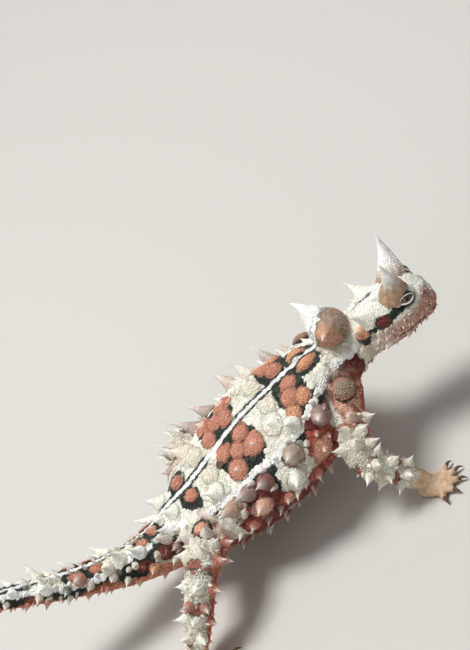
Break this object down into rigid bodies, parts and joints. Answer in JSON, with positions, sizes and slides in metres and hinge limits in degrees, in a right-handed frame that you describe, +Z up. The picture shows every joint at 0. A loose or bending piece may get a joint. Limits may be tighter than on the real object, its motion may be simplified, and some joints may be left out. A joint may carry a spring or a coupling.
{
  "type": "thorny devil lizard model",
  "caption": "Life-size still model of a thorny devil lizard, standing with raised fore body and lifted tail, covered in tapered thorns.",
  "frame": {"origin": "centre of the animal's box at the level of its soles", "axes": "+X towards the snout, +Y to the animal's left, +Z up"},
  "size_m": [0.1533, 0.0826, 0.0527],
  "materials": {
    "skin_pale": "dry scaly skin, cream with brown and black marks",
    "skin_brown": "dry scaly skin, russet brown",
    "skin_red": "dry scaly skin, dark red",
    "horn": "pale horny thorn, dull",
    "eye": "dark wet eye",
    "claw": "dark horny claw"
  },
  "bodies": {
    "root": {"head": "skin_pale", "lower_jaw": "skin_red", "neck": "skin_pale", "nape_knob": "skin_brown", "torso": "skin_pale", "tail_base": "skin_pale", "tail_middle": "skin_pale", "tail_tip": "skin_pale", "eye_left": "eye", "eye_right": "eye", "horn_left": "horn", "horn_right": "horn", "upper_arm_left": "skin_pale", "upper_arm_right": "skin_pale", "forearm_left": "skin_pale", "forearm_right": "skin_pale", "hand_left": "skin_brown", "hand_right": "skin_brown", "thigh_left": "skin_pale", "thigh_right": "skin_pale", "shin_left": "skin_pale", "shin_right": "skin_pale", "foot_left": "skin_brown", "foot_right": "skin_brown"}
  },
  "joints": []
}
